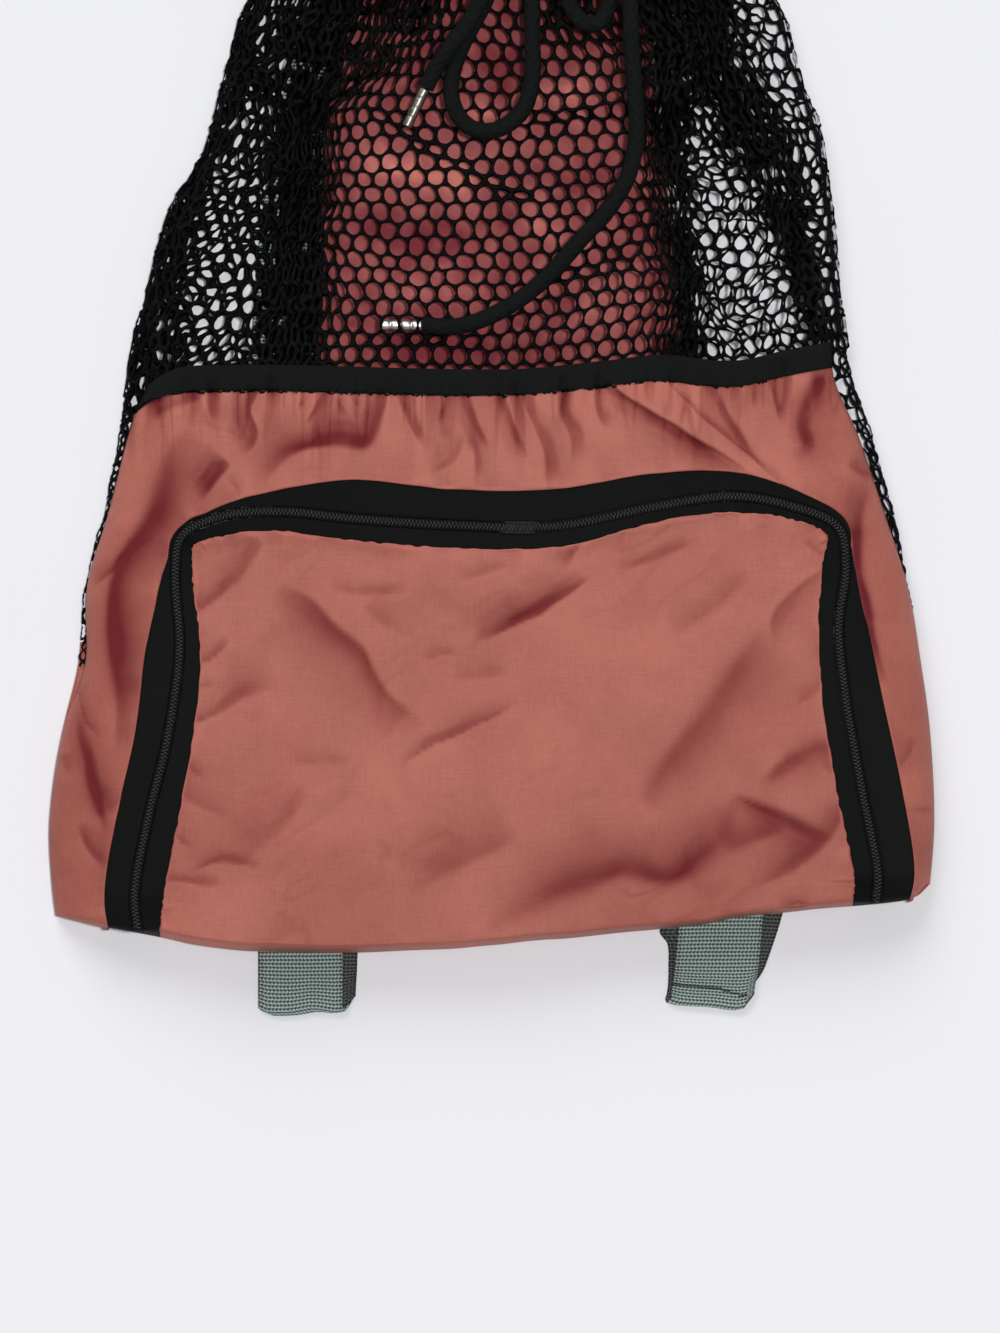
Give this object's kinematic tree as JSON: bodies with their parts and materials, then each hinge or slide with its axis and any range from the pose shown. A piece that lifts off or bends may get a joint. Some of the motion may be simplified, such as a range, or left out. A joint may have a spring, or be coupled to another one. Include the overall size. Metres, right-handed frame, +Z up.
{
  "type": "drawstring mesh bag",
  "caption": "Empty drawstring net sack lying on its back, with a cloth base and front panel, an arched zip, webbing back straps and a tied drawcord at the mouth.",
  "frame": {"origin": "on the floor under the middle of the bag's bounding box, straps included", "axes": "+X to the right of the front as it is seen, +Y from the base edge towards the mouth, +Z up out of the front"},
  "size_m": [0.4022, 0.546, 0.0392],
  "materials": {
    "coral_cloth": "matt woven cloth with a slight sheen",
    "black_tape": "matt woven tape",
    "zip_coil": "satin nylon coil",
    "black_net": "knitted net",
    "webbing": "ribbed webbing",
    "black_cord": "braided cord",
    "metal_tip": "crimped pewter-coloured metal"
  },
  "bodies": {
    "root": {"front_panel": "coral_cloth", "pocket_door": "coral_cloth", "back_strip": "coral_cloth", "base_back": "coral_cloth", "zip_gusset": "black_tape", "zip_tape": "black_tape", "panel_binding": "black_tape", "mouth_hem": "black_tape", "zip_coil": "zip_coil", "front_net": "black_net", "back_net_left": "black_net", "back_net_right": "black_net", "strap_left": "webbing", "strap_right": "webbing", "drawcord_neck": "black_cord", "cord_tail_left": "black_cord", "cord_tail_right": "black_cord", "cord_loop_left": "black_cord", "cord_loop_right": "black_cord", "cord_knot": "black_cord", "cord_tip_left": "metal_tip", "cord_tip_right": "metal_tip"}
  },
  "joints": []
}
